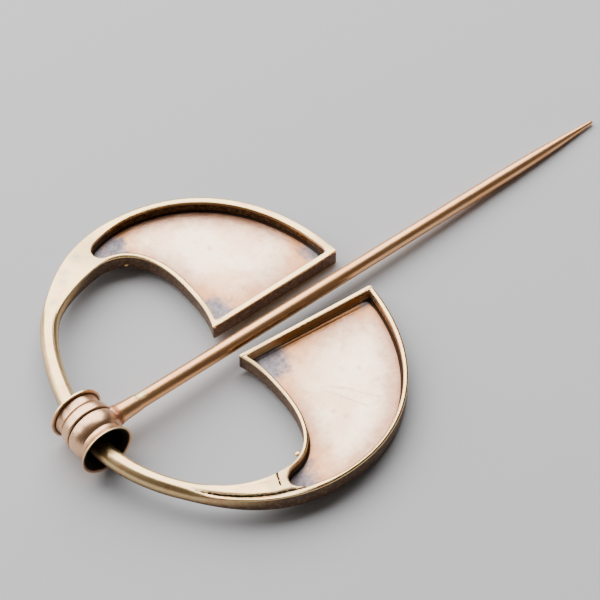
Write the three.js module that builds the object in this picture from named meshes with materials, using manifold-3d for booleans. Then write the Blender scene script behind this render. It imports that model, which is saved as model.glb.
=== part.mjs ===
import * as THREE from 'three';
import { mergeVertices } from 'three/addons/utils/BufferGeometryUtils.js';
import Module from 'manifold-3d';

const wasm = await Module();
wasm.setup();

// A cast bronze penannular brooch lying loose: an open hoop that ends in two hollow trays,
// and a long pin whose barrel head turns on the hoop. Millimetres, +Z up, +X along the pin.

// Outer edge of the hoop in plan, measured from its widest point on the middle line.
const hoopHalfWidth = 37.6;
const hoopFrontReach = 31.2;
const hoopBackReach = 32.6;
const hoopFrontFullness = 2.2;
const hoopBackFullness = 1.95;

// The eye, which is the opening inside the hoop.
const eyeSetback = 7.5;
const shoulderWidth = 7.9;
const lobeOffset = 14;
const lobeReach = 9.9;
const lobeFullness = 2.4;
const neckLean = 1.6;

// The eye and the gap sit a little toward the near side of the outer edge.
const eyeShift = 0.35;

// Either side of the head the rod is bent a little out of true.
const rodBend = 0.55;
const rodBendSpan = 24;

// The far arm stays broad a little longer than the near one, on the eye's side.
const armSwell = 0.6;
const armSwellSpan = 0.42;

// The gap between the trays, at the eye and at the open end.
const gapAtEye = 8.0;
const gapAtOpenEnd = 10.5;

// Section of the hoop.
const rodDiameter = 3.7;
const trayHeight = 3.4;
const trayFloor = 1.0;
const farEyeRim = 1.1;
const farGapRim = 1.25;
const farOuterRim = 1.55;
const nearEyeRim = 0.85;
const nearGapRim = 1.0;
const nearOuterRim = 0.9;
const recessTipLength = 6.5;
const farTipWidth = 2.8;
const nearTipWidth = 3.8;
const farTipTrim = 0.5;

// Head of the pin: a turned barrel with flared lips, open at both ends.
const barrelLength = 10.6;
const lipRadius = 5.4;
const lipEdge = 0.4;
const neckRadius = 4.45;
const flareLength = 1.9;
const bulgeRadius = 5.15;
const bulgeLength = 5.5;
const ridgeOffset = 0.8;
const ridgeWidth = 0.5;
const grooveDepth = 0.35;
const boreRadius = 3.2;
const mouthWall = 0.42;
const mouthDepth = 2.6;
const nearLean = 0.35;

// Shank of the pin.
const pinLength = 122.7;
const rootRadius = 1.8;
const shankRadius = 1.52;
const shankEndRadius = 1.38;
const tipRadius = 0.4;
const rootFlare = 0.4;
const rootLength = 9;
const taperLength = 26;

// How the loose brooch lies: the head has slid a little along the rod.
const restGap = 0.37;
const restLean = 66;
const headSlide = -2.15;
const pinYaw = 1.95;

const smooth = (t) => THREE.MathUtils.smoothstep(t, 0, 1);

// Point of a superellipse quarter: angle 0 is along the reach, 90 degrees along the width.
function quarterPoint(reach, width, fullness, angle) {
    const power = 2 / fullness;
    const x = reach * Math.sign(Math.cos(angle)) * Math.abs(Math.cos(angle)) ** power;
    const y = width * Math.sign(Math.sin(angle)) * Math.abs(Math.sin(angle)) ** power;
    return new THREE.Vector2(x, y);
}

// Angle at which a superellipse quarter has the given share of its width.
const angleAtShare = (share, fullness) => Math.asin(share ** (fullness / 2));

function edgeCurve(count, pointAt) {
    const points = [];
    for (let i = 0; i <= count; i += 1) {
        points.push(pointAt(i / count));
    }
    return new THREE.SplineCurve(points);
}

// The four edges of one half of the hoop, each from the gap toward the head. The far half has
// side 1 and the near half side -1; both are drawn on the far side.
function hoopEdges(side) {
    const half = Math.PI / 2;
    const outerStart = angleAtShare(gapAtOpenEnd / 2 / hoopHalfWidth, hoopFrontFullness);
    const neckX = eyeSetback + neckLean;
    const neckAngle = Math.acos((neckX / hoopBackReach) ** (hoopBackFullness / 2));
    const outerPoint = (angle) => {
        const front = angle < half;
        const reach = front ? hoopFrontReach : hoopBackReach;
        return quarterPoint(reach, hoopHalfWidth, front ? hoopFrontFullness : hoopBackFullness, angle);
    };
    const outerNeck = Math.PI - neckAngle;

    const eyeHalfWidth = hoopHalfWidth - shoulderWidth;
    const lobeHalf = eyeHalfWidth - lobeOffset;
    const innerShare = (lobeOffset - gapAtEye / 2) / lobeHalf;
    const innerStart = -angleAtShare(innerShare, lobeFullness);
    const lobePoint = (angle) => {
        const point = quarterPoint(lobeReach, lobeHalf, lobeFullness, angle);
        return point.add(new THREE.Vector2(-eyeSetback, lobeOffset - side * eyeShift));
    };
    const eyeBackReach = hoopBackReach - eyeSetback - rodDiameter;
    const eyePoint = (angle) => {
        const point = quarterPoint(eyeBackReach, eyeHalfWidth, 2, angle);
        return point.add(new THREE.Vector2(-eyeSetback, 0));
    };
    // The same bend moves one arm in and the other out, so it takes the side's sign.
    const bent = (point) => {
        const share = Math.min(1, point.y / rodBendSpan);
        return point.add(new THREE.Vector2(side * rodBend * Math.sin(Math.PI * share), 0));
    };
    // Moves a point of the far arm's inner edge toward the middle of the eye.
    const swollen = (point, t) => {
        const centre = new THREE.Vector2(-eyeSetback, 0);
        const swell = side > 0 ? armSwell * Math.sin(Math.PI * Math.min(1, t / armSwellSpan)) : 0;
        return point.sub(centre).setLength(point.length() - swell).add(centre);
    };
    // The eye's shift fades out along the arm.
    const shifted = (point, t) => point.add(new THREE.Vector2(0, -side * eyeShift * (1 - smooth(t * 1.5))));
    const blend = THREE.MathUtils.lerp;
    return {
        trayOuter: edgeCurve(60, (t) => outerPoint(blend(outerStart, outerNeck, t))),
        trayInner: edgeCurve(60, (t) => lobePoint(blend(innerStart, half, t))),
        armOuter: edgeCurve(40, (t) => bent(outerPoint(blend(outerNeck, Math.PI, t)))),
        armInner: edgeCurve(40, (t) => bent(shifted(swollen(eyePoint(blend(half, Math.PI, t)), t), t))),
    };
}

// Stations along half of the hoop: paired edge points, height and how square the section is.
function halfStations(edges, trayCount, armCount) {
    const stations = [];
    for (let i = 0; i <= trayCount; i += 1) {
        const t = i / trayCount;
        stations.push({
            outer: edges.trayOuter.getPointAt(t),
            inner: edges.trayInner.getPointAt(t),
            height: trayHeight,
            square: 1,
        });
    }
    for (let i = 1; i <= armCount; i += 1) {
        const t = i / armCount;
        stations.push({
            outer: edges.armOuter.getPointAt(t),
            inner: edges.armInner.getPointAt(t),
            height: THREE.MathUtils.lerp(trayHeight, rodDiameter, smooth(t * 1.6)),
            square: 1 - smooth(t * 2.2),
        });
    }
    return stations;
}

function mirrored(station) {
    return {
        ...station,
        outer: new THREE.Vector2(station.outer.x, -station.outer.y),
        inner: new THREE.Vector2(station.inner.x, -station.inner.y),
    };
}

// A cylinder whose every ring is moved by place(across, up, ringIndex).
function loft(sides, rings, place) {
    const geometry = new THREE.CylinderGeometry(1, 1, 1, sides, rings);
    const position = geometry.attributes.position;
    for (let i = 0; i < position.count; i += 1) {
        const ring = Math.round((position.getY(i) + 0.5) * rings);
        const point = place(position.getX(i), position.getZ(i), ring);
        position.setXYZ(i, point.x, point.y, point.z);
    }
    return geometry;
}

// Pushes a point of the unit disc toward the unit square.
function squared(across, up, amount) {
    const largest = Math.max(Math.abs(across), Math.abs(up));
    if (largest < 1e-9) {
        return [0, 0];
    }
    const stretch = 1 + amount * (Math.hypot(across, up) / largest - 1);
    return [across * stretch, up * stretch];
}

function hoopBlank() {
    const far = halfStations(hoopEdges(1), 22, 22);
    const near = halfStations(hoopEdges(-1), 22, 22);
    const stations = [...far, ...near.slice(0, -1).reverse().map(mirrored)];
    return loft(16, stations.length - 1, (x, z, ring) => {
        const { outer, inner, height, square } = stations[ring];
        const [across, up] = squared(x, z, square);
        const plan = inner.clone().lerp(outer, (1 + across) / 2);
        return new THREE.Vector3(plan.x, plan.y, (height * (1 + up)) / 2);
    });
}

// Plan outline of a tray's recess: a rim inside the tray's edges, with a round tip at the neck.
function recessOutline(edges, eyeRim, gapRim, outerRim, tipWidth, trim) {
    const outerLength = edges.trayOuter.getLength();
    const innerLength = edges.trayInner.getLength();
    const tipHalf = tipWidth / 2;
    const arc = (share) => Math.sqrt(1 - (1 - Math.min(1, share)) ** 2);
    const innerSide = [];
    const outerSide = [];
    const count = 48;
    for (let i = 0; i <= count; i += 1) {
        // Steps crowd toward the tip, so its rounding stays smooth.
        const t = Math.sin((i / count) * (Math.PI / 2)) * (1 - trim / innerLength);
        const outer = edges.trayOuter.getPointAt(THREE.MathUtils.lerp(gapRim / outerLength, 1, t));
        const inner = edges.trayInner.getPointAt(THREE.MathUtils.lerp(gapRim / innerLength, 1, t));
        const width = inner.distanceTo(outer);
        const toTip = Math.max(0, (1 - t) * innerLength - trim);
        const pinch = tipHalf * (1 - arc(toTip / tipHalf));
        const open = arc(toTip / recessTipLength);
        const wide = THREE.MathUtils.lerp(tipWidth, width - eyeRim - outerRim, open);
        innerSide.push(inner.clone().lerp(outer, (eyeRim + pinch) / width));
        outerSide.push(inner.clone().lerp(outer, (eyeRim + wide - pinch) / width));
    }
    return [...innerSide, ...outerSide.slice(0, -1).reverse()];
}

function recessCutter(outline) {
    const depth = trayHeight - trayFloor;
    const geometry = new THREE.ExtrudeGeometry(new THREE.Shape(outline), {
        depth: depth + 1,
        bevelEnabled: false,
        steps: 1,
    });
    return geometry.translate(0, 0, trayFloor);
}

function solid(geometry) {
    geometry.deleteAttribute('normal');
    geometry.deleteAttribute('uv');
    const merged = mergeVertices(geometry, 1e-4);
    const mesh = new wasm.Mesh({
        numProp: 3,
        vertProperties: new Float32Array(merged.attributes.position.array),
        triVerts: new Uint32Array(merged.index.array),
    });
    return new wasm.Manifold(mesh);
}

function geometryOf(manifold) {
    const mesh = manifold.getMesh();
    const geometry = new THREE.BufferGeometry();
    geometry.setAttribute('position', new THREE.BufferAttribute(mesh.vertProperties, 3));
    geometry.setIndex(new THREE.BufferAttribute(mesh.triVerts, 1));
    geometry.computeVertexNormals();
    return geometry;
}

function hoopGeometry() {
    const farOutline = recessOutline(hoopEdges(1), farEyeRim, farGapRim, farOuterRim, farTipWidth, farTipTrim);
    const nearOutline = recessOutline(hoopEdges(-1), nearEyeRim, nearGapRim, nearOuterRim, nearTipWidth, 0)
        .map((point) => new THREE.Vector2(point.x, -point.y));
    const far = recessCutter(farOutline);
    const near = recessCutter(nearOutline);
    return geometryOf(solid(hoopBlank()).subtract(solid(far)).subtract(solid(near)));
}

// Half section of the barrel: along is its axis, from the near lip to the far one.
function barrelProfile() {
    const end = barrelLength / 2;
    const start = -bulgeLength / 2;
    const stop = bulgeLength / 2;
    const ridge = ridgeOffset;
    const groove = ridge - ridgeWidth;
    const shoulder = (neckRadius + bulgeRadius) / 2;
    const flare = lipRadius - neckRadius;
    // The near end flares like a trumpet, the far end has a flat lip.
    const outside = [
        [lipRadius, -end],
        [lipRadius - flare * 0.1, -end + lipEdge * 0.8],
        [lipRadius - flare * 0.48, -end + lipEdge * 1.8],
        [lipRadius - flare * 0.84, -end + lipEdge * 3.2],
        [neckRadius, -end + flareLength],
        [neckRadius, start - 0.35],
        [shoulder, start + 0.1],
        [bulgeRadius - 0.12, start + 0.7],
        [bulgeRadius, start + 1.4],
        [bulgeRadius, groove - 0.7],
        [bulgeRadius - 0.1, groove - 0.25],
        [bulgeRadius - grooveDepth, groove + 0.05],
        [bulgeRadius + 0.02, ridge - ridgeWidth * 0.1],
        [bulgeRadius - 0.02, ridge + ridgeWidth],
        [bulgeRadius - 0.1, stop - 0.55],
        [shoulder, stop],
        [neckRadius, stop + 0.45],
        [neckRadius + 0.05, end - lipEdge * 2.2],
        [neckRadius + 0.25, end - lipEdge * 1.3],
        [lipRadius - 0.03, end - lipEdge],
        [lipRadius, end],
    ];
    const mouth = lipRadius - mouthWall;
    const inside = [
        [mouth, 0],
        [mouth - (mouth - boreRadius) * 0.55, 0.3],
        [mouth - (mouth - boreRadius) * 0.85, 0.65],
        [boreRadius, 1],
    ];
    const far = inside.map(([radius, share]) => [radius, end - share * mouthDepth]);
    const near = inside.map(([radius, share]) => [radius, -end + share * mouthDepth]).reverse();
    const points = [...outside, ...far, ...near, outside[0]];
    return points.map(([radius, along]) => new THREE.Vector2(radius, along));
}

// The lathe turns about Y, which is already the barrel's own axis. The near lip sits a little off it.
function barrelGeometry() {
    const geometry = new THREE.LatheGeometry(barrelProfile(), 44);
    const position = geometry.attributes.position;
    const end = barrelLength / 2;
    for (let i = 0; i < position.count; i += 1) {
        const lean = nearLean * smooth((-position.getY(i) - end * 0.4) / (end * 0.6));
        position.setX(i, position.getX(i) - lean);
    }
    return geometry;
}

// Distance along the shank's axis and radius there. It starts inside the barrel's wall.
function shankProfile() {
    const rootStart = boreRadius + 0.5;
    return [
        [rootStart, rootRadius + rootFlare],
        [bulgeRadius - 0.1, rootRadius + rootFlare],
        [bulgeRadius + 0.5, rootRadius + rootFlare * 0.3],
        [bulgeRadius + 1.4, rootRadius],
        [bulgeRadius + rootLength, shankRadius],
        [pinLength * 0.55, THREE.MathUtils.lerp(shankRadius, shankEndRadius, 0.6)],
        [pinLength - taperLength, shankEndRadius],
        [pinLength - taperLength * 0.7, shankEndRadius * 0.93],
        [pinLength - taperLength * 0.4, shankEndRadius * 0.74],
        [pinLength - taperLength * 0.15, THREE.MathUtils.lerp(tipRadius, shankEndRadius, 0.22)],
        [pinLength - tipRadius * 0.8, tipRadius],
        [pinLength - tipRadius * 0.2, tipRadius * 0.7],
        [pinLength, tipRadius * 0.3],
    ];
}

function shankGeometry() {
    const profile = shankProfile();
    return loft(16, profile.length - 1, (x, z, ring) => {
        const [along, radius] = profile[ring];
        return new THREE.Vector3(along, -x * radius, z * radius);
    });
}

// The steepest slope at which no ring of the shank is below the ground.
function pinSlope() {
    const slopes = shankProfile().map(([along, radius]) => (
        Math.asin(lipRadius / Math.hypot(along, radius)) - Math.atan2(radius, along)
    ));
    return Math.min(...slopes.filter((slope) => Number.isFinite(slope)));
}

const pinGeometry = () => geometryOf(solid(barrelGeometry()).add(solid(shankGeometry())));

// Where the rod's middle lies in the barrel, which stands on its lips: low and toward the head end.
const rodOffset = boreRadius - rodDiameter / 2 - restGap;
const rodHeight = lipRadius - rodOffset * Math.cos(THREE.MathUtils.degToRad(restLean));
const rodSetback = rodOffset * Math.sin(THREE.MathUtils.degToRad(restLean));

// The open end rests on the ground and the barrel holds the head end up.
function hoopTilt() {
    const openEndX = hoopFrontReach * (1 - (gapAtOpenEnd / 2 / hoopHalfWidth) ** hoopFrontFullness)
        ** (1 / hoopFrontFullness);
    const headX = -hoopBackReach + rodDiameter / 2;
    const span = openEndX - headX;
    const reach = Math.hypot(span, rodDiameter / 2);
    const angle = Math.asin(rodHeight / reach) - Math.atan2(rodDiameter / 2, span);
    return { angle, openEndX, span };
}

const hoopMaterial = new THREE.MeshStandardMaterial({
    color: 0xc9a578,
    roughness: 0.32,
    metalness: 1,
});
const pinMaterial = new THREE.MeshStandardMaterial({
    color: 0xc99a76,
    roughness: 0.38,
    metalness: 1,
});

const hoop = new THREE.Mesh(hoopGeometry(), hoopMaterial);
hoop.name = 'hoop';
const tilt = hoopTilt();
const hoopRest = new THREE.Group();
hoopRest.position.x = tilt.openEndX;
hoopRest.rotation.y = tilt.angle;
hoop.position.x = -tilt.openEndX;
hoopRest.add(hoop);

const pin = new THREE.Mesh(pinGeometry(), pinMaterial);
pin.name = 'pin';
const pinRest = new THREE.Group();
const headX = tilt.openEndX - tilt.span * Math.cos(tilt.angle)
    + (rodDiameter / 2) * Math.sin(tilt.angle) + rodSetback;
pinRest.position.set(headX, headSlide, lipRadius);
pinRest.rotation.z = THREE.MathUtils.degToRad(pinYaw);
pin.rotation.y = pinSlope();
pinRest.add(pin);

// The origin is under the middle of the whole brooch, on the ground.
const brooch = new THREE.Group();
const lying = new THREE.Group();
lying.add(hoopRest, pinRest);
brooch.add(lying);
const bounds = new THREE.Box3().setFromObject(lying, true);
const middle = bounds.getCenter(new THREE.Vector3());
lying.position.set(-middle.x, -middle.y, -bounds.min.z);

export default brooch;
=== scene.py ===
import math
from functools import reduce

import bmesh
import bpy
from mathutils import Matrix, Vector


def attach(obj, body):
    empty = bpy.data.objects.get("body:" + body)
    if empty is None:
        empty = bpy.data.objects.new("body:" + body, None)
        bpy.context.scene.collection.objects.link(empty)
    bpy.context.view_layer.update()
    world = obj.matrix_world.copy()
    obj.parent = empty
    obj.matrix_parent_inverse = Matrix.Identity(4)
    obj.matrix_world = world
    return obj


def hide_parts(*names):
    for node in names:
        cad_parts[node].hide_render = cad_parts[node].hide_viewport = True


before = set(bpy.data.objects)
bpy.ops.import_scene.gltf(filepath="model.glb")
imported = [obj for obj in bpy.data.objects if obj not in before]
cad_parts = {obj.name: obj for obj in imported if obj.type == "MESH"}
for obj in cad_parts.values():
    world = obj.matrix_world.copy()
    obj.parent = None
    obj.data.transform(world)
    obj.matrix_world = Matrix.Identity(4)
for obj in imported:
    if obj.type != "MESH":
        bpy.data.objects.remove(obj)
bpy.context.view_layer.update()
mm = 0.001


def mix(a, b, t):
    return a + (b - a) * t


def clamp(t):
    return max(0.0, min(1.0, t))


def smooth(t, low=0.0, high=1.0):
    t = clamp((t - low) / (high - low))
    return t * t * (3 - 2 * t)


def arc(share):
    # a quarter circle that rises from 0 to 1
    return math.sqrt(1 - (1 - clamp(share)) ** 2)


def between(a, b, count):
    # evenly spaced values between a and b, without the two ends
    return [mix(a, b, (i + 1) / (count + 1)) for i in range(count)]


class Value:
    # A shader value that can stand in an ordinary expression.
    def __init__(self, finish, socket):
        self.finish = finish
        self.socket = socket

    def maths(self, operation, *values):
        return self.finish.node("ShaderNodeMath", {"operation": operation}, dict(enumerate(values)))

    def __add__(self, other):
        return self.maths("ADD", self, other)

    def __sub__(self, other):
        return self.maths("SUBTRACT", self, other)

    def __rsub__(self, other):
        return self.maths("SUBTRACT", other, self)

    def __mul__(self, other):
        return self.maths("MULTIPLY", self, other)

    def __abs__(self):
        return self.maths("ABSOLUTE", self)

    def most(self, other):
        return self.maths("MAXIMUM", self, other)

    def least(self, other):
        return self.maths("MINIMUM", self, other)

    def step(self, low, high):
        # 0 below low, 1 above high, smooth between
        inputs = {"Value": self, "From Min": low, "From Max": high, "To Min": 0.0, "To Max": 1.0}
        return self.finish.node("ShaderNodeMapRange", {"interpolation_type": "SMOOTHSTEP"}, inputs)

    __radd__ = __add__


def strongest(marks):
    # the largest of several shader values
    return reduce(Value.most, marks)


class Finish:
    # One material and the nodes that make it.
    def __init__(self, name):
        self.material = bpy.data.materials.new(name)
        self.material.use_nodes = True
        self.tree = self.material.node_tree
        self.shader = self.tree.nodes["Principled BSDF"]

    def node(self, kind, settings, inputs, output=0):
        made = self.tree.nodes.new(kind)
        for key, value in settings.items():
            setattr(made, key, value)
        for key, value in inputs.items():
            if isinstance(value, Value):
                self.tree.links.new(value.socket, made.inputs[key])
            else:
                made.inputs[key].default_value = value
        return Value(self, made.outputs[output])

    def vectorMaths(self, operation, a, b, output=0):
        return self.node("ShaderNodeVectorMath", {"operation": operation}, {0: a, 1: b}, output)

    def scaled(self, vector, scale):
        return self.node("ShaderNodeVectorMath", {"operation": "SCALE"}, {0: vector, "Scale": scale})

    def place(self):
        # the place on the piece, in millimetres
        return self.scaled(self.node("ShaderNodeTexCoord", {}, {}, "Object"), 1000.0)

    def turned(self, vector, turn, scale):
        inputs = {"Vector": vector, "Rotation": [math.radians(a) for a in turn], "Scale": scale}
        return self.node("ShaderNodeMapping", {"vector_type": "POINT"}, inputs)

    def attribute(self, name):
        return self.node("ShaderNodeAttribute", {"attribute_name": name}, {}, "Fac")

    def noise(self, vector, scale, detail=3.0, roughness=0.5, distortion=0.0):
        inputs = {"Vector": vector, "Scale": scale, "Detail": detail}
        inputs.update({"Roughness": roughness, "Distortion": distortion})
        return self.node("ShaderNodeTexNoise", {}, inputs, "Fac")

    def colour(self, factor, a, b):
        a, b = ((*shade, 1) if isinstance(shade, tuple) else shade for shade in (a, b))
        return self.node("ShaderNodeMix", {"data_type": "RGBA"}, {0: factor, 6: a, 7: b}, 2)

    def near(self, vector, spot, blur):
        # distance to a spot, in millimetres, with a ragged edge
        return self.vectorMaths("DISTANCE", vector, spot, "Value") + blur

    def beside(self, vector, start, end, blur):
        # distance to a straight line between two spots, in millimetres, with a ragged edge
        span = Vector(end) - Vector(start)
        away = self.vectorMaths("SUBTRACT", vector, start)
        share = self.vectorMaths("DOT_PRODUCT", away, span / span.length_squared, "Value")
        foot = self.scaled(span, share.most(0.0).least(1.0))
        return self.vectorMaths("DISTANCE", away, foot, "Value") + blur

    def spots(self, vector, marks, blur, solid=0.0):
        # 1 on each marked spot, out to the solid share of its reach, and 0 beyond its reach
        return strongest(
            1 - self.near(vector, spot, blur).step(reach * solid, reach) for spot, reach in marks
        )

    def lines(self, vector, marks, blur, solid=0.0):
        # the same along each marked line
        return strongest(
            1 - self.beside(vector, start, end, blur).step(reach * solid, reach) for start, end, reach in marks
        )

    def wear(self, **links):
        names = {"colour": "Base Color", "roughness": "Roughness", "metallic": "Metallic", "normal": "Normal"}
        for key, value in links.items():
            socket = self.shader.inputs[names[key]]
            if isinstance(value, Value):
                self.tree.links.new(value.socket, socket)
            else:
                socket.default_value = value

    def bump(self, height):
        # the height is in millimetres
        return self.node("ShaderNodeBump", {}, {"Strength": 1.0, "Distance": mm, "Height": height}, "Normal")


# The hoop, in millimetres. Plan sizes are measured from its widest point on the middle line.
hoop = {
    "halfWidth": 37.56,
    "frontReach": 31.2,
    "backReach": 32.56,
    "frontFullness": 2.2,
    "backFullness": 1.95,
    "eyeSetback": 7.5,
    "shoulderWidth": 7.9,
    "lobeOffset": 14.0,
    "lobeReach": 9.9,
    "lobeFullness": 2.4,
    "neckLean": 1.6,
    "eyeShift": 0.35,
    "eyeShiftPace": 1.5,  # how soon the shift runs out toward the head
    "rodBend": 0.55,
    "rodBendSpan": 24.0,
    "armSwell": 0.6,  # of the far arm, on its inner side
    "armSwellSpan": 0.42,
    "gapAtEye": 8.0,
    "gapAtOpenEnd": 10.5,
    "rodDiameter": 3.7,
    "trayHeight": 3.4,
    "trayFloor": 1.0,
    "thinningPace": 1.6,  # how soon an arm has the rod's height
    "roundingPace": 2.2,  # how soon an arm is round
    # rim widths of the far and the near tray: at the eye, the gap and the outer edge
    "rims": {1: (1.1, 1.25, 1.55), -1: (0.85, 1.0, 0.9)},
    "tipLength": 6.5,
    "tipWidth": {1: 2.8, -1: 3.8},  # of the recess, in the far and the near tray
    "tipPoint": 0.12,  # half of the width that is left at its very end
    "farTipTrim": 0.5,
    "edgeRounding": 0.2,  # top and bottom edges, worn smooth
    "edgeFade": 0.12,  # the polish of the top ends this far down the side
    "rimRounding": 0.2,  # edge between rim and recess
    "rimDome": 0.09,  # the rim's top is slightly domed
    "rimFade": 6.0,  # past the tip, the rim's shape is gone after this length
    "wallRun": 0.02,  # the end walls lean in by this much
    "floorFillet": 0.3,  # where the recess wall runs into the floor
    "plateCorner": 0.45,  # corners of the tray in plan
    "recessCorner": 0.6,  # corners of the recess in plan
    "ledgeWidth": 0.75,  # at the foot of the near tray's straight wall
    "ledgeSlope": 0.4,
    "ledgeHeight": 0.22,
    "grooveDepth": 0.24,  # beside the raised outer edge of the near arm
    "grooveWidth": 0.42,
    "grooveInset": 1.25,
    "grooveStart": (-3.5, 0.5),  # lengths past the tip between which it deepens
    "grooveEnd": (0.26, 0.5),  # shares of the arm between which it runs out
    "dishDepth": 0.22,  # the far arm's top is hollowed
    "dishMiddle": 0.52,  # as shares of the width
    "dishHalf": 0.36,
    "dishStart": (0.02, 0.1),  # shares of the arm
    "dishEnd": (0.3, 0.55),
    "facets": 8,  # faint flats round the rod
    "facetDepth": 0.03,
    "facetStart": (0.1, 0.3),
    "facetEnd": (0.75, 0.95),
    "nubs": [  # left by the casting: place, size
        ((-2.58, 27.93, 1.15), (0.55, 0.34, 0.36)),
        ((-2.8, -28.05, 1.8), (0.6, 0.64, 0.36)),
    ],
    "tilt": 2.927,
    "origin": (-28.7642, 0.0, 1.596),
    "steps": {"underside": 7, "side": 2, "outerRim": 14, "wall": 4, "floor": 16, "innerRim": 8, "arm": 130},
    "noWall": 9.0,  # stands for a point that is on neither wall nor floor of a recess
    "widestGap": 8.5,  # farthest distance to a wall that a floor point records
    "noEnd": 99.0,  # stands for a station of the arms, far from the tray's end
}


def quarter(reach, width, fullness, angle):
    # a point of a superellipse quarter: angle 0 along the reach, 90 degrees along the width
    power = 2 / fullness
    c, s = math.cos(angle), math.sin(angle)
    return Vector((
        reach * math.copysign(abs(c) ** power, c),
        width * math.copysign(abs(s) ** power, s),
    ))


class Edge:
    # A plan curve that is walked by the length along it.
    def __init__(self, pointAt, count=600):
        self.points = [pointAt(i / count) for i in range(count + 1)]
        self.lengths = [0.0]
        for a, b in zip(self.points, self.points[1:]):
            self.lengths.append(self.lengths[-1] + (b - a).length)
        self.length = self.lengths[-1]

    def at(self, share):
        target = clamp(share) * self.length
        low, high = 0, len(self.lengths) - 1
        while high - low > 1:
            middle = (low + high) // 2
            if self.lengths[middle] <= target:
                low = middle
            else:
                high = middle
        step = self.lengths[high] - self.lengths[low]
        return self.points[low].lerp(self.points[high], (target - self.lengths[low]) / step)


def hoopEdges(side):
    # outer and inner edges of tray and arm, from the gap to the head, drawn on the far side
    h = hoop
    half = math.pi / 2
    outerStart = math.asin((h["gapAtOpenEnd"] / 2 / h["halfWidth"]) ** (h["frontFullness"] / 2))
    neckX = h["eyeSetback"] + h["neckLean"]
    outerNeck = math.pi - math.acos((neckX / h["backReach"]) ** (h["backFullness"] / 2))

    def outerPoint(angle):
        if angle < half:
            return quarter(h["frontReach"], h["halfWidth"], h["frontFullness"], angle)
        return quarter(h["backReach"], h["halfWidth"], h["backFullness"], angle)

    eyeHalf = h["halfWidth"] - h["shoulderWidth"]
    lobeHalf = eyeHalf - h["lobeOffset"]
    innerShare = (h["lobeOffset"] - h["gapAtEye"] / 2) / lobeHalf
    innerStart = -math.asin(innerShare ** (h["lobeFullness"] / 2))
    lobeCentre = Vector((-h["eyeSetback"], h["lobeOffset"]))
    eyeCentre = Vector((-h["eyeSetback"], 0))
    eyeBack = h["backReach"] - h["eyeSetback"] - h["rodDiameter"]
    shift = side * h["eyeShift"]

    def lobePoint(t):
        point = quarter(h["lobeReach"], lobeHalf, h["lobeFullness"], mix(innerStart, half, t))
        return point + lobeCentre - Vector((0, shift))

    def eyePoint(t):
        swell = h["armSwell"] * math.sin(math.pi * min(1, t / h["armSwellSpan"])) if side > 0 else 0
        point = quarter(eyeBack, eyeHalf, 2, mix(half, math.pi, t))
        shifted = Vector((0, shift * (1 - smooth(t * h["eyeShiftPace"]))))
        return point * (1 - swell / point.length) + eyeCentre - shifted

    def bent(point):
        share = min(1, point.y / h["rodBendSpan"])
        return point + Vector((side * h["rodBend"] * math.sin(math.pi * share), 0))

    return {
        "trayOuter": Edge(lambda t: outerPoint(mix(outerStart, outerNeck, t))),
        "trayInner": Edge(lobePoint),
        "armOuter": Edge(lambda t: bent(outerPoint(mix(outerNeck, math.pi, t)))),
        "armInner": Edge(lambda t: bent(eyePoint(t))),
    }


def recessDepth(distance):
    # depth at a distance inside the recess's end wall: worn edge, upright wall, fillet, floor
    full = hoop["trayHeight"] - hoop["trayFloor"]
    worn, fillet, run = hoop["rimRounding"], hoop["floorFillet"], hoop["wallRun"]
    if distance <= -worn:
        return 0.0
    if distance <= 0:
        return worn * (1 - math.sqrt(max(0, 1 - ((distance + worn) / worn) ** 2)))
    if distance <= run:
        return mix(worn, full - fillet, distance / run)
    return full - fillet * (1 - arc((distance - run) / fillet))


def halfStations(side):
    # paired edge points along half of the hoop, with what the section needs at each
    h = hoop
    edges = hoopEdges(side)
    outer, inner = edges["trayOuter"], edges["trayInner"]
    rim, worn = h["rims"][side][1], h["rimRounding"]
    trim = h["farTipTrim"] if side > 0 else 0.0
    length = inner.length - rim
    stations = []

    def add(outerShare, innerShare, fromEnd, toTip):
        inset = fromEnd - rim
        depth = min(recessDepth(inset), recessDepth(toTip))
        if side < 0 and depth > worn:
            slope = smooth(inset, h["ledgeWidth"] - h["ledgeSlope"], h["ledgeWidth"])
            depth = max(worn, depth - h["ledgeHeight"] * (1 - slope))
        stations.append({
            "side": side, "outer": outer.at(outerShare), "inner": inner.at(innerShare),
            "height": h["trayHeight"], "square": 1.0, "fromEnd": fromEnd, "toTip": toTip,
            "arm": 0.0, "depth": depth,
        })

    # the rim at the gap, then the recess, closer together where the surface bends
    for s in (0, 0.02, 0.06, 0.12, 0.2, 0.3, 0.45, 0.65, 0.9, rim - worn, rim - worn * 0.6, rim - worn * 0.25, rim):
        add(s / outer.length, s / inner.length, s, length)
    foot = [0.02, 0.05, 0.1, 0.18, 0.26, 0.34, 0.48, 0.6, 0.64, 0.68, 0.72, 0.76, 0.85]
    tip = (1.9, 1.6, 1.3, 1.05, 0.85, 0.65, 0.5, 0.38, 0.28, 0.2, 0.13, 0.07, 0.02, 0, -0.03, -0.07, -worn)
    stops = foot + between(foot[-1], length - trim - tip[0], 83)
    stops += [length - trim - e for e in tip if length - trim - e < length - 0.01]
    for s in stops:
        t = s / length
        add(mix(rim / outer.length, 1, t), mix(rim / inner.length, 1, t), rim + s, length - trim - s)
    armSteps = h["steps"]["arm"]
    for i in range(armSteps + 1):
        t = i / armSteps
        stations.append({
            "side": side, "outer": edges["armOuter"].at(t), "inner": edges["armInner"].at(t),
            "height": mix(h["trayHeight"], h["rodDiameter"], smooth(t * h["thinningPace"])),
            "square": 1 - smooth(t * h["roundingPace"]), "fromEnd": h["noEnd"],
            "toTip": -trim - worn - t * edges["armInner"].length, "arm": t, "depth": 0.0,
        })
    return stations


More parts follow.
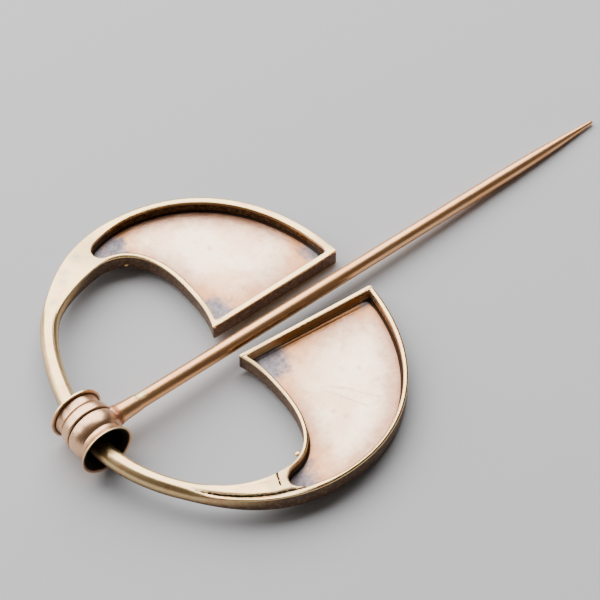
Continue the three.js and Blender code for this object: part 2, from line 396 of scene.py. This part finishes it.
def section(station):
    # the outline across the hoop, once round, from its bottom inner corner: distance from the inner
    # edge, height, share of the recess's full depth, distance to its wall (below 0 on the wall),
    # 1 on the polished top, and how deep in the groove
    h = hoop
    width = (station["outer"] - station["inner"]).length
    height, depth = station["height"], station["depth"]
    fromEnd, toTip, arm, side = station["fromEnd"], station["toTip"], station["arm"], station["side"]
    edge, noWall, steps = h["edgeRounding"], h["noWall"], h["steps"]
    shrink = edge * (1 - arc(fromEnd / edge))
    pull = shrink * 0.5 + h["plateCorner"] * (1 - arc(fromEnd / h["plateCorner"]))
    low, high, left, right = shrink, height - shrink, pull, width - pull
    tipWidth = h["tipWidth"][side]
    tipHalf = tipWidth / 2
    pinch = min(tipHalf * (1 - arc(toTip / tipHalf)), tipHalf - h["tipPoint"])
    eyeRim, gapRim, outerRim = h["rims"][side]
    corner = h["recessCorner"] * (1 - arc((fromEnd - gapRim) / h["recessCorner"]))
    # the recess lies between a and b; past its tip they move to where the mesh stays even
    a = eyeRim + pinch + corner
    b = eyeRim + mix(tipWidth, width - eyeRim - outerRim, arc(toTip / h["tipLength"])) - pinch - corner
    relax = smooth(-toTip, h["rimRounding"], h["rimFade"])
    a, b = mix(a, width * 0.2, relax), mix(b, width * 0.6, relax)
    worn = min(h["rimRounding"], depth * 0.45)
    fillet = min(h["floorFillet"], depth * 0.5, (b - a) * 0.4)
    floor = high - depth
    full = h["trayHeight"] - h["trayFloor"]
    points = []

    def put(x, z, top=1.0, gap=noWall):
        points.append([x, z, clamp(depth / full) if gap < noWall else 0.0, gap, top])

    def bend(x, z, radius, start, turn, count, gap=noWall, top=1.0):
        for i in range(count):
            angle = math.radians(start + turn * i / (count - 1))
            put(x + radius * math.cos(angle), z + radius * math.sin(angle), top, gap)

    def rimTop(start, stop, count):
        for x in between(start, stop, count):
            dome = 1 - (2 * (x - start) / (stop - start) - 1) ** 2
            put(x, high + h["rimDome"] * dome * clamp(1 - relax * 2))

    bend(left + edge, low + edge, edge, 180, 90, 4, top=0.0)
    for x in between(left + edge, right - edge, steps["underside"]):
        put(x, low, 0.0)
    bend(right - edge, low + edge, edge, 270, 90, 4, top=0.0)
    for z in (*between(low + edge, high - edge, steps["side"]), high - edge - h["edgeFade"]):
        put(right, z, 0.0)
    bend(right - edge, high - edge, edge, 0, 90, 5)
    rimTop(right - edge, b + worn, steps["outerRim"])
    bend(b + worn, high - worn, worn, 90, 90, 4)
    for z in between(high - worn, floor + fillet, steps["wall"]):
        put(b, z, gap=-clamp((high - z) / full))
    bend(b - fillet, floor + fillet, fillet, 0, -90, 4, gap=0.0)
    ends = min(fromEnd - gapRim, toTip)
    for x in between(b - fillet, a + fillet, steps["floor"]):
        put(x, floor, gap=clamp(min(x - a, b - x, ends) / h["widestGap"]) * h["widestGap"])
    bend(a + fillet, floor + fillet, fillet, 270, -90, 4, gap=0.0)
    for z in between(floor + fillet, high - worn, steps["wall"]):
        put(a, z, gap=-clamp((high - z) / full))
    bend(a - worn, high - worn, worn, 0, 90, 4)
    rimTop(a - worn, left + edge, steps["innerRim"])
    bend(left + edge, high - edge, edge, 90, 90, 5)
    for z in (high - edge - h["edgeFade"], *between(high - edge, low + edge, steps["side"])):
        put(left, z, 0.0)

    square, groove = station["square"], 0.0
    if side < 0:
        groove = h["grooveDepth"] * smooth(-toTip, *h["grooveStart"]) * (1 - smooth(arm, *h["grooveEnd"]))
    dish = h["dishDepth"] * smooth(arm, *h["dishStart"]) * (1 - smooth(arm, *h["dishEnd"]))
    filed = h["facetDepth"] * (1 - square) * smooth(arm, *h["facetStart"]) * (1 - smooth(arm, *h["facetEnd"]))
    for point in points:
        x, z = point[0], point[1]
        if square < 1:
            p, q = x / width * 2 - 1, z / height * 2 - 1
            reach = max(math.hypot(p, q), 1e-6)
            flat = 1 - filed * (1 + math.cos(h["facets"] * math.atan2(q, p))) / 2
            x = mix((p / reach * flat + 1) / 2 * width, x, square)
            z = mix((q / reach * flat + 1) / 2 * height, z, square)
            # on the round rod the top mark follows the upward slope, so the underside takes the side colour as
            # painted shade
            point[4] = mix(smooth(q / reach, -0.1, 0.5), point[4], square)
        grooved = 0.0
        if z > height * 0.55 and point[3] >= noWall or arm > 0:
            fromGroove = width - x - h["grooveInset"]
            upper = smooth(z, height * 0.5, height * 0.8)
            z -= upper * groove * math.exp(-(fromGroove / h["grooveWidth"]) ** 2)
            z -= upper * dish * max(0.0, 1 - ((x - width * h["dishMiddle"]) / (width * h["dishHalf"])) ** 2)
            # pits and grime keep to the bottom of the groove
            grooved = upper * groove / h["grooveDepth"] * math.exp(-(fromGroove / (h["grooveWidth"] * 0.75)) ** 2)
        point[0], point[1] = x, z
        point.append(grooved)
    return points


def extruded(rings, layerNames):
    # a loop of vertices, extruded from each ring of points to the next, with both ends filled;
    # what follows the three coordinates of a point goes into the named layers
    capInset = 0.03
    bm = bmesh.new()
    layers = [bm.verts.layers.float.new(name) for name in layerNames]
    bmesh.ops.create_circle(bm, cap_ends=False, segments=len(rings[0]), radius=1)
    bm.verts.ensure_lookup_table()
    loop = [bm.verts[0]]
    while len(loop) < len(rings[0]):
        beside = [edge.other_vert(loop[-1]) for edge in loop[-1].link_edges]
        loop.append(next(vert for vert in beside if vert not in loop[-2:]))

    def settle(ring):
        for vert, point in zip(loop, ring):
            vert.co = point[:3]
            for layer, value in zip(layers, point[3:]):
                vert[layer] = value

    settle(rings[0])
    ends = [loop]
    for ring in rings[1:]:
        edges = [bm.edges.get((a, b)) for a, b in zip(loop, loop[1:] + loop[:1])]
        grown = bmesh.ops.extrude_edge_only(bm, edges=edges)
        fresh = {v for v in grown["geom"] if isinstance(v, bmesh.types.BMVert)}
        loop = [next(e.other_vert(v) for e in v.link_edges if e.other_vert(v) in fresh) for v in loop]
        settle(ring)
    ends.append(loop)
    caps = [bmesh.ops.contextual_create(bm, geom=end)["faces"][0] for end in ends]
    bmesh.ops.inset_region(bm, faces=caps, thickness=capInset, use_even_offset=True)
    bmesh.ops.recalc_face_normals(bm, faces=bm.faces)
    return bm, [vert for cap in caps for vert in cap.verts]


def placed(bm, name, matrix, node, finish):
    # the finished piece: its place is in its mesh, and it stands for a node of the frame
    bmesh.ops.transform(bm, matrix=Matrix.Scale(mm, 4) @ matrix, verts=bm.verts)
    mesh = bpy.data.meshes.new(name)
    bm.to_mesh(mesh)
    bm.free()
    for face in mesh.polygons:
        face.use_smooth = True
    made = bpy.data.objects.new(name, mesh)
    bpy.context.scene.collection.objects.link(made)
    mesh.materials.append(finish.material)
    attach(made, node)
    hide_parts(node)


# Finish of the hoop. Places are in the part's own frame, in millimetres, each with its reach.
hoopFinish = {
    "rim": (0.98, 0.7, 0.34),
    "rimPink": (0.93, 0.53, 0.27),
    "floor": (0.99, 0.78, 0.55),
    "floorPink": (0.8, 0.43, 0.26),
    "amber": (0.6, 0.25, 0.08),
    # rose: painted shade on the floors beside the walls
    "roseShade": (0.4, 0.18, 0.11),
    # umber: painted shade at the walls' foot, and the colour of the scratches
    "umberShadeAndScratches": (0.26, 0.125, 0.07),
    # recess walls: dark is partly patina, partly painted dark reflection; tan is painted reflection of a bright
    # floor
    "wall": (0.085, 0.045, 0.02),
    "wallBounceTan": (1.0, 0.6, 0.31),
    # sides of the casting: partly patina, partly painted shade and dark reflection below the lit top
    "outside": (0.26, 0.14, 0.07),
    "outsidePatinaShade": (0.085, 0.047, 0.026),
    # grime: dirt in the groove, cracks and pits, and painted shade in the corners and down the pin's bore
    "grimeAndShade": (0.012, 0.009, 0.006),
    "violet": (0.13, 0.11, 0.12),
    "violetPale": (0.42, 0.37, 0.4),
    "grey": (0.5, 0.42, 0.33),
    "polish": 0.2,  # roughness of the rims
    "rodSatin": 0.1,
    "rodStart": (-46.0, -38.0),  # the rod is less polished than the trays
    "satin": 0.36,  # roughness of the floors
    "patches": [  # violet patina, with its amber ring
        ((-36.0, 33.6, 2.9), 7.4),
        ((-31.0, 33.2, 2.8), 4.2),
        ((-25.2, 7.6, 2.4), 6.4),
        ((1.0, 8.6, 1.1), 5.4),
        ((-24.2, -6.8, 2.3), 7.6),
        ((-36.2, -31.6, 2.9), 7.4),
        ((-33.6, -29.6, 2.8), 5.0),
        ((1.0, -6.5, 1.1), 3.4),
    ],
    "patchCore": (0.35, 0.92),  # shares of the reach between which the violet fades
    "patchRing": (0.6, 2.1),  # and the amber around it
    "soot": [((-37.0, -31.4, 2.9), 4.6), ((-38.6, 34.2, 2.9), 2.6), ((-26.3, -5.6, 2.4), 2.6)],
    "mottles": [
        ((-39.1, 33.6, 5.5), 1.9),
        ((-42.6, 31.5, 5.7), 1.7),
        ((-44.3, 30.0, 5.8), 1.8),
        ((-48.5, 26.6, 6.0), 1.4),
    ],
    "cracks": [
        ((-37.3, -29.8, 5.45), (-37.9, -30.9, 5.45), 0.3),
        ((-37.9, -30.9, 5.45), (-38.5, -32.5, 5.45), 0.17),
    ],
    "wrinkles": [
        ((-18.0, -18.2, 2.0), (-15.2, -21.0, 1.9), 0.2),
        ((-15.2, -21.0, 1.9), (-11.4, -26.2, 1.7), 0.2),
        ((-18.7, -19.1, 2.1), (-17.6, -21.0, 2.0), 0.18),
        ((-17.6, -21.0, 2.0), (-14.6, -26.3, 1.9), 0.16),
        ((-19.6, -33.6, 2.1), (-18.9, -34.2, 2.1), 0.22),
    ],
    "stains": [
        ((-9.5, -22.8, 1.6), 0.9),
        ((-19.2, -25.9, 2.1), 0.8),
        ((-20.4, -23.8, 2.2), 0.9),
        ((-10.5, -18.6, 1.7), 0.7),
        ((-25.4, -29.4, 2.4), 0.9),
        ((-16.0, 22.0, 2.0), 0.9),
        ((-7.0, 18.0, 1.5), 0.8),
        ((-21.0, 17.5, 2.2), 0.7),
    ],
    # walls painted tan as painted reflection of the bright floor they face
    "bounceLitWalls": [  # the far tray's inner corner, the near tray's straight wall
        ((-24.5, 6.0, 3.5), 9.0),
        ((-9.0, -5.0, 2.2), 16.0),
    ],
    "ledges": [((-24.0, -5.5, 2.4), (0.5, -6.7, 1.1), 1.3)],
    # painted shade on the floor beside the walls, at their foot and in the corner line
    "cornerShade": (0.6, 6.4),  # distances from the wall between which the rose fades
    "footShade": (0.05, 1.3),  # and the brown at its foot
    "footShadeLine": (0.03, 0.36),  # and the dark line in the corner
    "undulation": 0.03,  # heights of the relief, in millimetres
    "floorUndulation": 0.07,
    "scratchDepth": 0.003,
    "wrinkleDepth": 0.01,
    "pitDepth": 0.016,
    "grooveRough": 0.12,
    "crackDepth": 0.12,
}


def finishHoop():
    f, c = Finish("hoopBronze"), hoopFinish
    place = f.place()
    recess, gap, top, groove = (f.attribute(name) for name in ("recess", "gap", "top", "groove"))
    cloudy = f.noise(place, 0.13, 4.0, 0.6)
    blotchy = f.noise(place, 0.42, 4.0, 0.62)
    fine = f.noise(place, 1.6, 5.0, 0.65)
    grain = f.noise(place, 7.0, 3.0, 0.6)
    streaks = f.noise(f.turned(place, (0, 0, 24), (0.35, 5.0, 1.0)), 1.0, 4.0, 0.6)
    crossing = f.noise(f.turned(place, (0, 0, -58), (0.3, 4.2, 1.0)), 1.0, 4.0, 0.6)
    blotches, specks, grains = blotchy - 0.5, fine - 0.5, grain - 0.5
    onFloor = recess.step(0.82, 0.9) * gap.step(-0.2, 0.05)
    onWall = (gap * -1.0).step(0.0, 0.1)

    # patina in the corners: violet patches with an amber ring, soot in the deepest of them
    ragged = blotches * 6.5 + specks * 1.6
    patches = [(f.near(place, spot, ragged), reach) for spot, reach in c["patches"]]
    (coreIn, coreOut), (ringIn, ringOut) = c["patchCore"], c["patchRing"]
    violet = strongest(1 - away.step(reach * coreIn, reach * coreOut) for away, reach in patches)
    amber = strongest(1 - away.step(reach * ringIn, reach * ringOut) for away, reach in patches)
    soot = f.spots(place, c["soot"], specks * 3.0, 0.4)

    # painted shade that the walls throw on the floor, and the marks on it
    nearWallShade = 1 - (gap + specks * 2.4 + blotches * 5.0).step(*c["cornerShade"])
    foot = 1 - (gap + specks * 1.2 + blotches * 1.6).step(*c["footShade"])
    # a painted dark shade line in the corner where wall meets floor
    line = (1 - (gap + grains * 0.2).step(*c["footShadeLine"])) * onFloor
    stain = f.spots(place, c["stains"], specks * 2.0)
    wrinkled = f.lines(place, c["wrinkles"], specks * 1.6 + grains * 0.4)
    ledge = f.lines(place, c["ledges"], blotches * 1.6 + specks * 0.8, 0.5)
    scratches = streaks.step(0.62, 0.72) + crossing.step(0.64, 0.74)
    pink = (cloudy.step(0.44, 0.62) * 0.5).most(blotchy.step(0.52, 0.7) * 0.4)
    floor = f.colour(pink, c["floor"], c["floorPink"])
    floor = f.colour(nearWallShade * 0.85, floor, c["roseShade"])
    browned = (amber * 0.65).most(stain * 0.5).most(wrinkled * 0.3).most(ledge * 0.85)
    floor = f.colour(browned, floor, c["amber"])
    # umber: painted shade at the wall's foot, and the scratches
    floor = f.colour((foot * 0.7).most(scratches * 0.2), floor, c["umberShadeAndScratches"])
    pale = (blotchy * 0.4 + fine * 0.6).step(0.22, 0.72) * (1 - soot * 0.8)
    floor = f.colour(violet, floor, f.colour(pale, c["violet"], c["violetPale"]))

    # walls of the recesses, sides of the casting, and its polished top; the walls' dark and tan and the sides' dark
    # are partly painted reflection and shade
    # the walls painted tan where they face a bright floor: painted reflection
    bounceLight = f.spots(place, c["bounceLitWalls"], blotches * 6.0, 0.3)
    bounceLight = (fine.step(0.4, 0.7) * 0.22 + bounceLight * (0.35 + fine.step(0.3, 0.6) * 0.6)).least(1.0)
    wall = f.colour(bounceLight, c["wall"], c["wallBounceTan"])
    outside = f.colour(fine.step(0.4, 0.75), c["outsidePatinaShade"], c["outside"])
    rim = f.colour(blotchy.step(0.45, 0.7), c["rim"], c["rimPink"])
    mottle = strongest(1 - f.near(place, spot, specks * 2.2).step(0.1, reach) for spot, reach in c["mottles"])
    rim = f.colour(mottle * 0.6, rim, c["grey"])
    # the sides and the rod's underside take the darker colour: partly patina, partly painted shade
    colour = f.colour(top, outside, rim)
    colour = f.colour(onFloor, colour, floor)
    colour = f.colour(onWall, colour, wall)
    crack = f.lines(place, c["cracks"], specks * 0.7, 0.3)
    pitted = (groove + specks * 1.1 + grains * 0.8).step(0.46, 0.66)
    # grime and painted shade: a painted shade line in the corners, dirt in the pitted groove and the cracks
    grimeAndShade = line.most(pitted).most(crack)
    colour = f.colour(grimeAndShade, colour, c["grimeAndShade"])

    onSide = 1 - top
    dull = (violet * 0.2).most(onWall * 0.26).most(onSide * 0.3).most(grimeAndShade * 0.35)
    onRod = 1 - f.node("ShaderNodeSeparateXYZ", {}, {0: place}, "X").step(*c["rodStart"])
    rough = c["polish"] + onRod * c["rodSatin"] + onFloor * (c["satin"] - c["polish"]) + dull + specks * 0.12
    metallic = 1 - violet * 0.3 - onWall * 0.35 - onSide * (1 - onFloor) * (1 - onWall) * 0.5

    wrinkle = 1 - abs(f.noise(place, 0.09, 1.0, 0.4, 1.2) - 0.5).step(0.0, 0.014)
    pits = (1 - grain.step(0.22, 0.34)) * c["pitDepth"]
    height = blotchy * (c["undulation"] + onFloor * c["floorUndulation"])
    height = height + fine * (0.004 + onWall * 0.06 + onFloor * 0.004 + onSide * 0.01)
    height = height - scratches * c["scratchDepth"] * onFloor
    height = height - (wrinkle * 0.5 + wrinkled * 1.3) * c["wrinkleDepth"] * onFloor
    height = height - pits - grain * 0.0012 - pitted * c["grooveRough"] - crack * c["crackDepth"]
    f.wear(colour=colour, roughness=rough, metallic=metallic, normal=f.bump(height))
    return f


def makeHoop():
    rings = []
    far, near = halfStations(1), halfStations(-1)[:-1]
    for side, stations in ((1, far), (-1, near[::-1])):
        for station in stations:
            across = (station["outer"] - station["inner"]).normalized()
            ring = []
            for x, z, *marks in section(station):
                plan = station["inner"] + across * x
                ring.append((plan.x, side * plan.y, z, *marks))
            rings.append(ring)
    bm, capVerts = extruded(rings, ("recess", "gap", "top", "groove"))
    gapLayer, topLayer = bm.verts.layers.float["gap"], bm.verts.layers.float["top"]
    for vert in capVerts:
        vert[topLayer] = 0.0
    for spot, size in hoop["nubs"]:
        matrix = Matrix.Translation(spot) @ Matrix.Diagonal(size).to_4x4()
        nub = bmesh.ops.create_icosphere(bm, subdivisions=3, radius=1, matrix=matrix)
        for vert in nub["verts"]:
            vert[gapLayer] = hoop["noWall"]
            vert[topLayer] = 1.0
    tilt = Matrix.Rotation(math.radians(hoop["tilt"]), 4, "Y")
    placed(bm, "hoopCasting", Matrix.Translation(hoop["origin"]) @ tilt, "hoop", finishHoop())


# The pin, in millimetres: its head is a turned barrel, its shank is soldered on.
pin = {
    "barrelLength": 10.58,
    "lipRadius": 5.365,
    "lipEdge": 0.4,
    "neckRadius": 4.45,
    "flareLength": 1.9,
    "bulgeRadius": 5.14,
    "bulgeLength": 5.5,
    "ridgeOffset": 0.8,
    "ridgeWidth": 0.5,
    "grooveDepth": 0.32,
    "boreRadius": 3.2,
    "mouthWall": 0.42,
    "mouthDepth": 2.6,
    "nearLean": 0.35,  # the near end leans away from the shank
    "length": 122.66,
    "rootRadius": 1.8,
    "shankRadius": 1.52,
    "shankEndRadius": 1.37,
    "tipRadius": 0.4,
    "rootFlare": 0.4,
    "rootLength": 9.0,
    "taperLength": 26.0,
    "centre": (-58.4844, -2.15, 5.4),
    "along": (0.998661, 0.034001, -0.038999),
    "axis": (-0.034027, 0.999421, 0.0),
    "profileSteps": 4,  # between two points of the barrel's profile
    "lathe": 128,  # steps once round the barrel
    "shankSteps": 6,
    "shankSides": 36,
}


def flowing(points, steps):
    # a smooth line through the points
    line = []
    padded = [points[0]] + list(points) + [points[-1]]
    for p0, p1, p2, p3 in zip(padded, padded[1:], padded[2:], padded[3:]):
        for i in range(steps):
            t = i / steps
            line.append(tuple(
                0.5 * (2 * b + (c - a) * t + (2 * a - 5 * b + 4 * c - d) * t * t + (3 * b - a - 3 * c + d) * t ** 3)
                for a, b, c, d in zip(p0, p1, p2, p3)
            ))
    line.append(tuple(points[-1]))
    return line


def barrelProfile():
    # radius, distance along the axis, and how dark it is painted (dirt, and painted shade under the far lip and
    # down the bore), from the near lip round to the bore
    p = pin
    end, start, stop = p["barrelLength"] / 2, -p["bulgeLength"] / 2, p["bulgeLength"] / 2
    lip, neck, bulge, edge = p["lipRadius"], p["neckRadius"], p["bulgeRadius"], p["lipEdge"]
    ridge, ridgeWidth = p["ridgeOffset"], p["ridgeWidth"]
    groove, shoulder, flare = ridge - ridgeWidth, (neck + bulge) / 2, lip - neck
    outside = [
        # near lip and its flare
        (lip - 0.05, -end, 0), (lip, -end + 0.05, 0),
        (lip - flare * 0.1, -end + edge * 0.8, 0), (lip - flare * 0.48, -end + edge * 1.8, 0),
        (lip - flare * 0.84, -end + edge * 3.2, 0), (neck, -end + p["flareLength"], 0.15),
        # bulge
        (neck, start - 0.35, 0.3), (shoulder, start + 0.1, 0.3),
        (bulge - 0.12, start + 0.7, 0), (bulge, start + 1.4, 0), (bulge, groove - 0.7, 0),
        # groove and ridge
        (bulge - 0.08, groove - 0.2, 0.2), (bulge - p["grooveDepth"], groove + 0.05, 0.95),
        (bulge - 0.1, ridge - ridgeWidth * 0.45, 0.5), (bulge + 0.02, ridge - ridgeWidth * 0.1, 0),
        (bulge - 0.02, ridge + ridgeWidth, 0), (bulge - 0.1, stop - 0.55, 0),
        # far neck and lip, with painted shadow under the far lip's overhang
        (shoulder, stop, 0.3), (neck, stop + 0.45, 0.3), (neck + 0.05, end - edge * 2.2, 0.3),
        (neck + 0.25, end - edge * 1.3, 0.9), (lip - 0.1, end - edge * 1.05, 0.3),
        (lip, end - edge * 0.9, 0), (lip, end - 0.06, 0), (lip - 0.06, end, 0),
    ]
    # inside the mouths the dark value is painted shade down the bore
    mouth, bore = lip - p["mouthWall"], p["boreRadius"]
    inside = [
        (mouth + 0.26, 0, 0), (mouth + 0.1, 0.02, 0.45), (mouth - (mouth - bore) * 0.12, 0.08, 0.9),
        (mouth - (mouth - bore) * 0.55, 0.3, 1), (mouth - (mouth - bore) * 0.85, 0.65, 1), (bore, 1, 1),
    ]
    far = [(radius, end - share * p["mouthDepth"], dirtAndShade) for radius, share, dirtAndShade in inside]
    near = [(radius, -end + share * p["mouthDepth"], dirtAndShade) for radius, share, dirtAndShade in inside[::-1]]
    return [point for part in (outside, far, near) for point in flowing(part, p["profileSteps"])]


def shankProfile():
    # distance from the barrel's middle, radius
    p = pin
    start, length, taper, flare = p["bulgeRadius"], p["length"], p["taperLength"], p["rootFlare"]
    root, shank, shankEnd, tip = p["rootRadius"], p["shankRadius"], p["shankEndRadius"], p["tipRadius"]
    return [
        (start - 0.5, root + flare), (start - 0.1, root + flare * 0.95),
        (start + 0.5, root + flare * 0.55), (start + 1.2, root + flare * 0.22),
        (start + 2.2, root), (start + 5.0, mix(root, shank, 0.55)), (start + p["rootLength"], shank),
        (length * 0.55, mix(shank, shankEnd, 0.6)), (length - taper, shankEnd),
        (length - taper * 0.7, shankEnd * 0.93), (length - taper * 0.4, shankEnd * 0.74),
        (length - taper * 0.15, mix(tip, shankEnd, 0.22)), (length - tip * 0.8, tip),
        (length - tip * 0.2, tip * 0.7), (length, tip * 0.3),
    ]


# Finish of the pin. Distances are from the middle of the barrel, in millimetres.
pinFinish = {
    "shank": (0.86, 0.43, 0.19),
    "shankPale": (0.95, 0.56, 0.29),
    "barrel": (0.88, 0.53, 0.31),
    "barrelShade": (0.55, 0.28, 0.15),
    "copper": (0.42, 0.14, 0.07),
    # lip: a pale band, kept to the upper side as painted highlight
    "lip": (0.97, 0.74, 0.4),
    "solder": (0.9, 0.74, 0.36),
    "grimeAndShade": (0.012, 0.009, 0.006),
    "satin": 0.34,
    "brushing": (0.07, 1.6),  # scales of the brush marks along and across the shank
    "solderSpot": (10.9, 0.5, 1.5),
    "solderReach": (0.7, 1.7),
    "seamOffset": 0.15,  # outside the bulge
    "seamWidth": (0.15, 0.8),
    "seamHeight": (5.5, 9.0),  # squares of the distance from the shank's middle line
    "seamStart": (3.2, 4.2),
    "lipBand": (0.5, 0.25),  # polished, measured from the end of the barrel
}


def finishPin():
    f, c, p = Finish("pinBronze"), pinFinish, pin
    place = f.place()
    along, axis = Vector(p["along"]), Vector(p["axis"])
    local = f.vectorMaths("SUBTRACT", place, p["centre"])
    directions = (along, axis, along.cross(axis))
    reach, sideways, up = (f.vectorMaths("DOT_PRODUCT", local, d, "Value") for d in directions)
    dirtAndShade = f.attribute("dirtAndShade")
    long, fineness = c["brushing"]
    brushed = f.node("ShaderNodeCombineXYZ", {}, {0: reach * long, 1: sideways * fineness, 2: up * fineness})
    streaks = f.noise(brushed, 1.3, 5.0, 0.6)
    fineStreaks = f.noise(brushed, 6.0, 3.0, 0.6)
    cloudy = f.noise(place, 0.5, 3.0, 0.5)
    fine = f.noise(place, 2.4, 5.0, 0.65)
    grain = f.noise(place, 8.0, 3.0, 0.6)
    specks = fine - 0.5
    onShank = reach.step(p["bulgeRadius"] + 0.1, p["bulgeRadius"] + 0.5)
    onBarrel = 1 - onShank

    turned = f.node("ShaderNodeCombineXYZ", {}, {0: reach, 1: sideways, 2: up})
    solder = 1 - f.near(turned, c["solderSpot"], specks * 2.4).step(*c["solderReach"])
    fromSeam = abs(reach + specks * 0.7 - (p["bulgeRadius"] + c["seamOffset"]))
    roundShank = 1 - (sideways * sideways + up * up).step(*c["seamHeight"])
    seam = (1 - fromSeam.step(*c["seamWidth"])) * roundShank * reach.step(*c["seamStart"])
    bandStart, bandFull = (p["barrelLength"] / 2 - inset for inset in c["lipBand"])
    # the pale lip band only on the upper side: painted highlight, the lower side left darker as painted shade
    lipLitBand = abs(sideways).step(bandStart, bandFull) * up.step(-0.5, 3.0)

    shank = f.colour(streaks.step(0.4, 0.65), c["shank"], c["shankPale"])
    barrel = f.colour(fine.step(0.45, 0.7) * 0.5, c["barrel"], c["barrelShade"])
    barrel = f.colour(lipLitBand, barrel, c["lip"])
    colour = f.colour(onShank, barrel, shank)
    colour = f.colour(solder * 0.75, colour, c["solder"])
    colour = f.colour(seam * 0.85, colour, c["copper"])
    # darkened by dirt and painted shade: the groove, the shadow under the far lip and the bore
    dirtAndShadeMask = (dirtAndShade + (grain - 0.5) * 0.3).step(0.35, 0.95)
    colour = f.colour(dirtAndShadeMask, colour, c["grimeAndShade"])
    rough = c["satin"] + specks * 0.16 + dirtAndShadeMask * 0.25 + seam * 0.12 + onBarrel * -0.04

    pits = (1 - grain.step(0.3, 0.42)) * (solder * 0.03 + 0.004)
    height = cloudy * 0.02 + streaks * 0.004 * onShank + fineStreaks * 0.0006 * onShank
    height = height + fine * 0.01 * onBarrel - pits + solder * 0.04 + seam * fine * 0.12
    f.wear(colour=colour, roughness=rough, metallic=1.0, normal=f.bump(height))
    return f


def makePin():
    p = pin
    rings = []
    bulge = p["bulgeRadius"]
    for along, radius in flowing(shankProfile(), p["shankSteps"]):
        ring = []
        for degrees in range(0, 360, 360 // p["shankSides"]):
            y, z = radius * math.cos(math.radians(degrees)), radius * math.sin(math.radians(degrees))
            saddle = bulge - math.sqrt(bulge ** 2 - z * z)  # the root follows the barrel
            ring.append((along - saddle * (1 - smooth(along, bulge - 0.1, bulge + 1.6)), y, z, 0.0))
        rings.append(ring)
    bm = extruded(rings, ("dirtAndShade",))[0]
    dirtAndShadeLayer = bm.verts.layers.float["dirtAndShade"]
    loop = []
    for radius, along, dirtAndShade in barrelProfile():
        vert = bm.verts.new((radius, along, 0))
        vert[dirtAndShadeLayer] = dirtAndShade
        loop.append(vert)
    edges = [bm.edges.new((a, b)) for a, b in zip(loop, loop[1:] + loop[:1])]
    bmesh.ops.spin(
        bm, geom=loop + edges, cent=(0, 0, 0), axis=(0, 1, 0), angle=math.tau, steps=p["lathe"], use_merge=True
    )
    end = p["barrelLength"] / 2
    lipSquare = 30.3  # square of a radius that takes in the lips and leaves out the shank
    for vert in bm.verts:
        if vert.co.x * vert.co.x + vert.co.z * vert.co.z < lipSquare and abs(vert.co.y) < end + 0.01:
            vert.co.x -= p["nearLean"] * smooth(-vert.co.y - end * 0.4, 0, end * 0.6)
    bmesh.ops.recalc_face_normals(bm, faces=bm.faces)
    along, axis = Vector(p["along"]), Vector(p["axis"])
    turn = Matrix((along, axis, along.cross(axis))).transposed().to_4x4()
    placed(bm, "pinTurned", Matrix.Translation(p["centre"]) @ turn, "pin", finishPin())


print("hoop")
makeHoop()
print("pin")
makePin()

# The studio: a pale floor, soft light from the far side and from above, and the photograph's view.
studio = {
    "floorSize": 3,
    "floorColour": (0.56, 0.56, 0.57),
    "floorRoughness": 0.85,
    "air": (1.0, 0.93, 0.88),
    "airStrength": 0.1,
    "cameraPlace": (-153.187, -217.177, 336.886),
    "right": (0.80467044, -0.59229446, -0.04114302),
    "up": (0.48832449, 0.62081915, 0.61328849),
    "focal": 2237.5,  # in pixels of the photograph's frame
    "frameWidth": 600,
    "sensorWidth": 36,
    "lights": [  # place, target, width, height, power
        ((190, 560, 680), (-10, 5, 0), 1.3, 1.0, 22.0),
        ((-560, 560, 380), (-30, 0, 0), 0.6, 0.6, 5.0),
    ],
}


def makeStudio():
    s = studio
    bm = bmesh.new()
    bmesh.ops.create_grid(bm, x_segments=1, y_segments=1, size=s["floorSize"])
    mesh = bpy.data.meshes.new("floor")
    bm.to_mesh(mesh)
    bm.free()
    floor = bpy.data.objects.new("floor", mesh)
    bpy.context.scene.collection.objects.link(floor)
    paper = Finish("paleFloor")
    paper.wear(colour=(*s["floorColour"], 1), roughness=s["floorRoughness"])
    mesh.materials.append(paper.material)
    for number, (place, target, width, height, power) in enumerate(s["lights"]):
        lamp = bpy.data.lights.new(f"softbox{number + 1}", "AREA")
        lamp.shape = "RECTANGLE"
        lamp.size, lamp.size_y = width, height
        lamp.energy = power
        made = bpy.data.objects.new(lamp.name, lamp)
        made.location = Vector(place) * mm
        made.rotation_euler = (Vector(place) - Vector(target)).to_track_quat("Z", "Y").to_euler()
        bpy.context.scene.collection.objects.link(made)
    world = bpy.data.worlds.new("studioAir")
    bpy.context.scene.world = world
    world.use_nodes = True
    air = world.node_tree.nodes["Background"]
    air.inputs["Color"].default_value = (*s["air"], 1)
    air.inputs["Strength"].default_value = s["airStrength"]
    lens = bpy.data.cameras.new("camera")
    lens.sensor_width = s["sensorWidth"]
    lens.lens = s["focal"] / s["frameWidth"] * s["sensorWidth"]
    lens.clip_start = 0.01
    camera = bpy.data.objects.new("camera", lens)
    right, up = Vector(s["right"]), Vector(s["up"])
    turn = Matrix((right, up, right.cross(up))).transposed().to_4x4()
    camera.matrix_world = Matrix.Translation(Vector(s["cameraPlace"]) * mm) @ turn
    bpy.context.scene.collection.objects.link(camera)
    bpy.context.scene.camera = camera


print("studio")
makeStudio()
